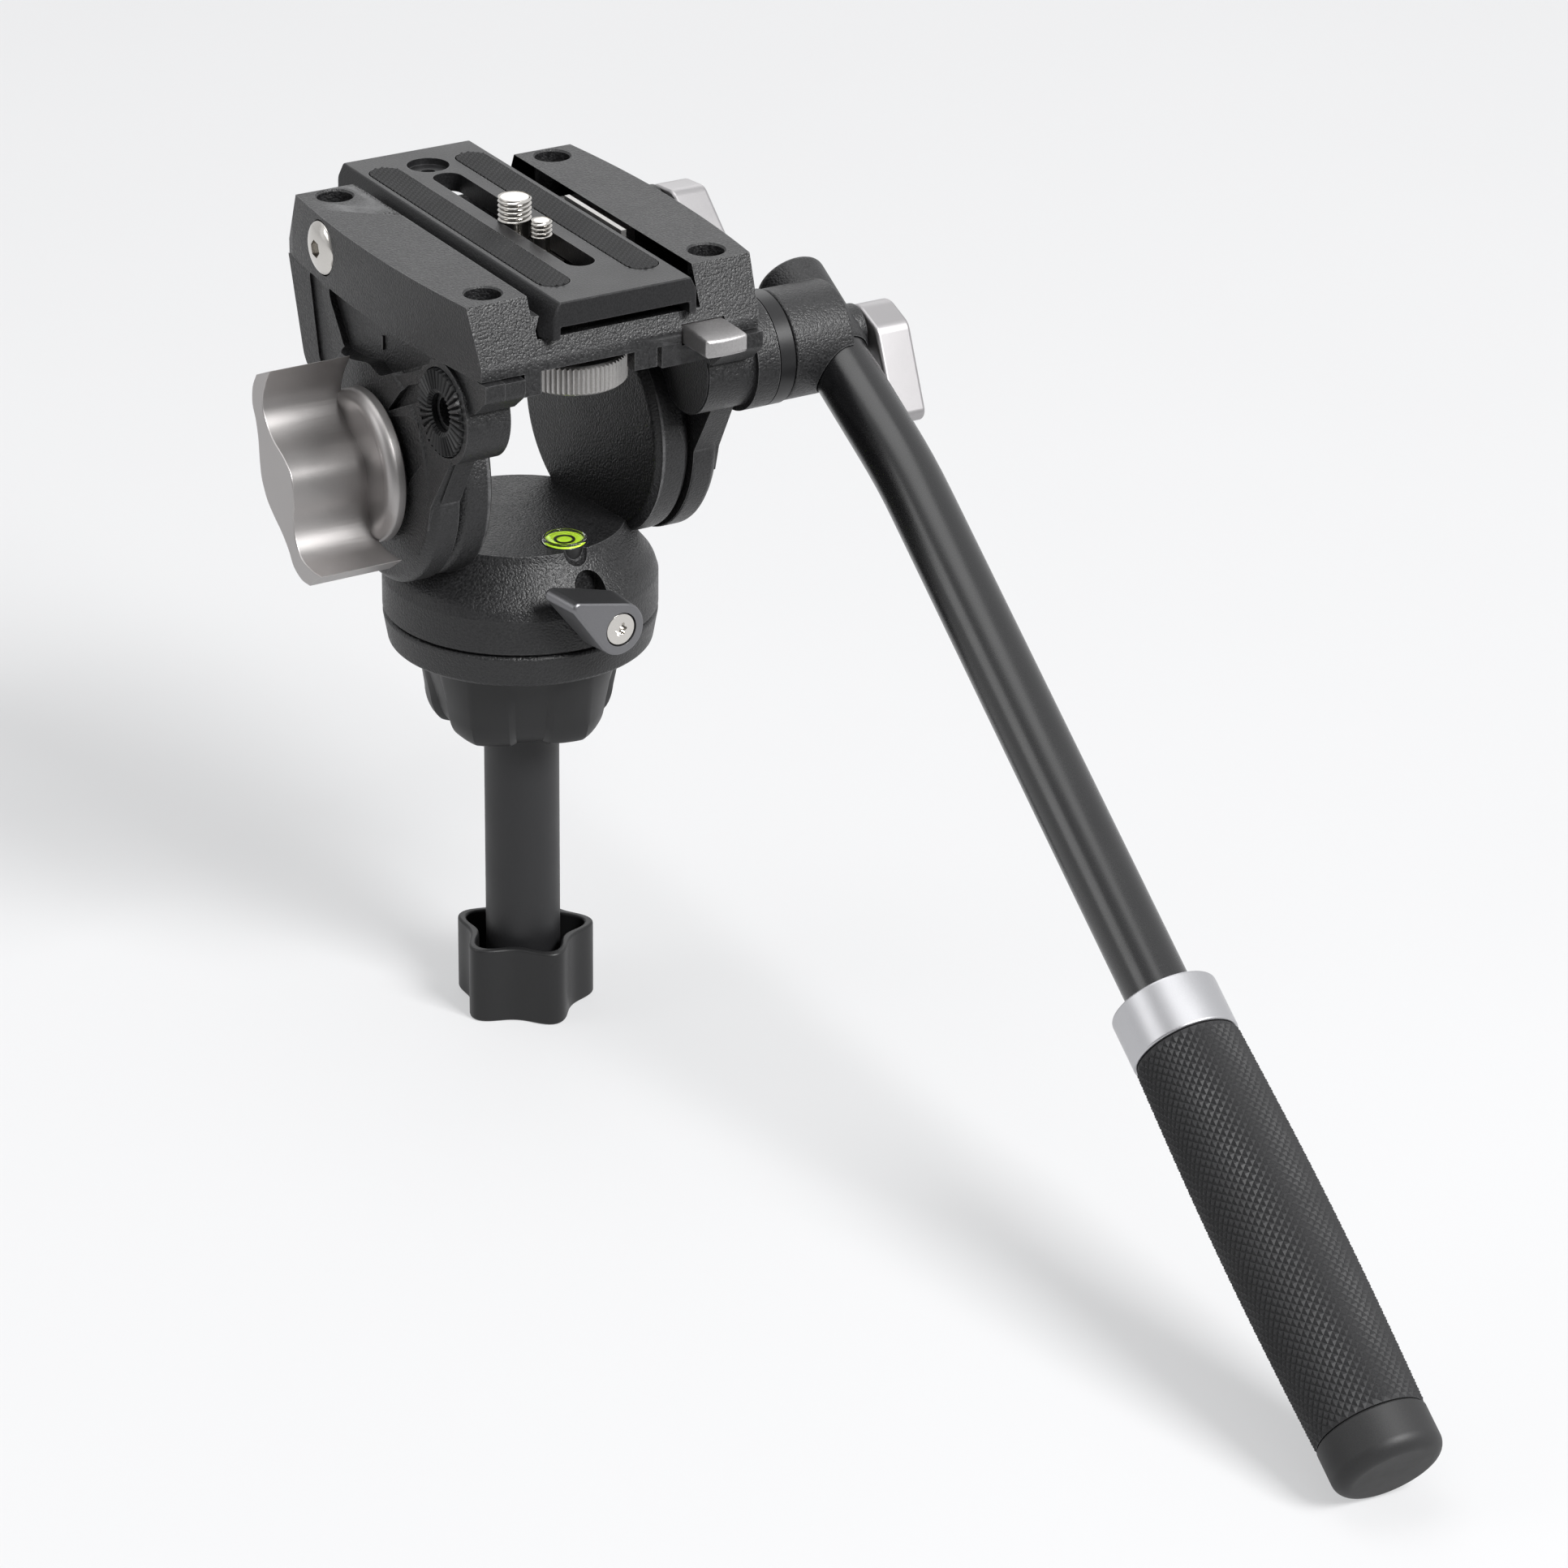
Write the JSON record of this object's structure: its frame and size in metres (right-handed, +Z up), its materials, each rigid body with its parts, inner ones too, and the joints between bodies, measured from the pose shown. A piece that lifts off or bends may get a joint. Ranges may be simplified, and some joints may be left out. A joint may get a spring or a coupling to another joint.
{
  "type": "fluid video head",
  "caption": "Fluid video head on a fluted half ball, with a tie-down star knob, tilt cradle, sliding camera plate, winged drag knob, locking levers and a bent pan bar with a rubber grip.",
  "frame": {"origin": "on the pan axis, at the underside of the tie-down star knob, which stands on the floor together with the end of the pan bar", "axes": "+Z up along the pan axis; X along the tilt axis, with the drag knob at -X and the pan bar at +X; the operator stands at -Y"},
  "size_m": [0.1717, 0.4222, 0.2452],
  "materials": {
    "black_paint": "fine sand-textured black paint on cast aluminium",
    "black_plastic": "smooth matte black plastic",
    "black_anodised": "satin black anodised tube",
    "rubber": "dark grey rubber, diamond knurled on the grip and pads",
    "satin_silver": "warm grey satin anodised",
    "grey_metal": "dark grey metallic lacquer",
    "bright_steel": "bright stainless steel",
    "brass": "plain brass",
    "vial_green": "clear cap over lime green liquid"
  },
  "bodies": {
    "base": {"base_disc": "black_paint", "half_ball": "black_paint", "pan_shaft": "bright_steel", "tie_stud": "bright_steel", "brake_drum": "bright_steel", "pan_drag_cartridge": "black_plastic", "pan_retaining_nut": "bright_steel", "thrust_washer": "bright_steel"},
    "tie_knob": {"star_knob": "black_plastic", "tie_tube": "black_anodised", "tube_nut": "brass"},
    "pan_housing": {"pan_body": "black_paint", "level_vial": "vial_green", "tilt_drag_cartridge": "black_plastic", "counterbalance_cartridge": "bright_steel", "left_tilt_bushing": "brass", "right_tilt_bushing": "brass"},
    "pan_lock": {"pan_lock_lever": "grey_metal", "pan_lock_screw": "bright_steel", "pan_lock_spindle": "bright_steel"},
    "lock_pad": {"pan_lock_pad": "brass"},
    "tilt_cradle": {"left_cheek": "black_paint", "right_cheek": "black_paint", "left_rosette": "black_paint", "right_rosette": "black_paint", "left_trunnion": "bright_steel", "right_trunnion": "bright_steel", "pivot_cover": "black_plastic", "platform": "black_paint", "rail_screw_front_left": "bright_steel", "rail_screw_front_right": "bright_steel", "rail_screw_rear_left": "bright_steel", "rail_screw_rear_right": "bright_steel", "side_screw": "bright_steel"},
    "drag": {"drag_knob": "satin_silver", "drag_spindle": "bright_steel"},
    "pan_bar": {"handle_socket": "black_paint", "handle_tube": "black_anodised", "grip_ferrule": "satin_silver", "grip": "rubber", "end_cap": "rubber"},
    "bar_clamp": {"clamp_lever": "satin_silver", "clamp_bolt": "bright_steel"},
    "plate": {"camera_plate": "black_paint", "left_pad": "rubber", "right_pad": "rubber"},
    "large_carriage": {"large_screw_retainer": "bright_steel"},
    "large_camera_screw": {"large_screw": "bright_steel"},
    "small_carriage": {"small_screw_retainer": "bright_steel"},
    "small_camera_screw": {"small_screw": "bright_steel"},
    "plate_lock": {"plate_lock_lever": "satin_silver", "plate_lock_spindle": "bright_steel", "plate_lock_collar": "black_plastic"},
    "jaw": {"clamp_jaw": "bright_steel"},
    "button": {"safety_button": "satin_silver"},
    "catch": {"safety_catch": "bright_steel"},
    "wheel": {"thumbwheel": "satin_silver", "wheel_spindle": "bright_steel"}
  },
  "joints": [
    {"name": "tie_knob_turn", "type": "hinge", "parent": "base", "child": "tie_knob", "pos_m": [0, 0, 0], "axis": [0, 0, 1], "continuous": true},
    {"name": "pan", "type": "hinge", "parent": "base", "child": "pan_housing", "pos_m": [0, 0, 0.1256], "axis": [0, 0, 1], "continuous": true},
    {"name": "pan_lock_turn", "type": "hinge", "parent": "pan_housing", "child": "pan_lock", "pos_m": [0, 0, 0.135], "axis": [0.0872, -0.9962, 0], "range_deg": [0, 70]},
    {"name": "lock_pad_slide", "type": "slide", "parent": "pan_housing", "child": "lock_pad", "axis": [0.0872, -0.9962, 0], "range_m": [0, 0.00042]},
    {"name": "tilt", "type": "hinge", "parent": "pan_housing", "child": "tilt_cradle", "pos_m": [0, 0, 0.1765], "axis": [1, 0, 0], "range_deg": [-75, 50]},
    {"name": "drag_knob_turn", "type": "hinge", "parent": "tilt_cradle", "child": "drag", "pos_m": [-0.0451, 0, 0.1765], "axis": [1, 0, 0], "range_deg": [-135, 135]},
    {"name": "pan_bar_pivot", "type": "hinge", "parent": "tilt_cradle", "child": "pan_bar", "pos_m": [0.0748, -0.038, 0.2043], "axis": [1, 0, 0], "range_deg": [-150, 150]},
    {"name": "clamp_turn", "type": "hinge", "parent": "tilt_cradle", "child": "bar_clamp", "pos_m": [0.0856, -0.038, 0.2043], "axis": [1, 0, 0], "range_deg": [-90, 90]},
    {"name": "plate_slide", "type": "slide", "parent": "tilt_cradle", "child": "plate", "axis": [0, 1, 0], "range_m": [-0.034, 0.034]},
    {"name": "large_screw_slide", "type": "slide", "parent": "plate", "child": "large_carriage", "axis": [0, 1, 0], "range_m": [-0.0005, 0.036]},
    {"name": "large_screw_turn", "type": "hinge", "parent": "large_carriage", "child": "large_camera_screw", "pos_m": [0, 0.0015, 0.2331], "axis": [0, 0, 1], "continuous": true},
    {"name": "small_screw_slide", "type": "slide", "parent": "plate", "child": "small_carriage", "axis": [0, 1, 0], "range_m": [-0.019, 0.0005]},
    {"name": "small_screw_turn", "type": "hinge", "parent": "small_carriage", "child": "small_camera_screw", "pos_m": [0, -0.0138, 0.2331], "axis": [0, 0, 1], "continuous": true},
    {"name": "plate_lock_turn", "type": "hinge", "parent": "tilt_cradle", "child": "plate_lock", "pos_m": [0.0464, 0.014, 0.2291], "axis": [1, 0, 0], "range_deg": [-75, 0]},
    {"name": "jaw_slide", "type": "slide", "parent": "tilt_cradle", "child": "jaw", "axis": [1, 0, 0], "range_m": [0, 0.00145]},
    {"name": "button_press", "type": "slide", "parent": "tilt_cradle", "child": "button", "axis": [0, 1, 0], "range_m": [0, 0.0035], "stiffness_N_per_m": 300, "springref_m": -0.003},
    {"name": "catch_slide", "type": "slide", "parent": "tilt_cradle", "child": "catch", "axis": [0, 0, -1], "range_m": [0, 0.0029]},
    {"name": "wheel_turn", "type": "hinge", "parent": "tilt_cradle", "child": "wheel", "pos_m": [-0.004, -0.038, 0.2193], "axis": [0, 0, 1], "continuous": true}
  ],
  "couplings": [
    {"joint": "lock_pad_slide", "follows": "pan_lock_turn", "m_per_rad": 0.0003274},
    {"joint": "jaw_slide", "follows": "plate_lock_turn", "m_per_rad": -0.0010695},
    {"joint": "catch_slide", "follows": "button_press", "ratio": 0.8}
  ]
}
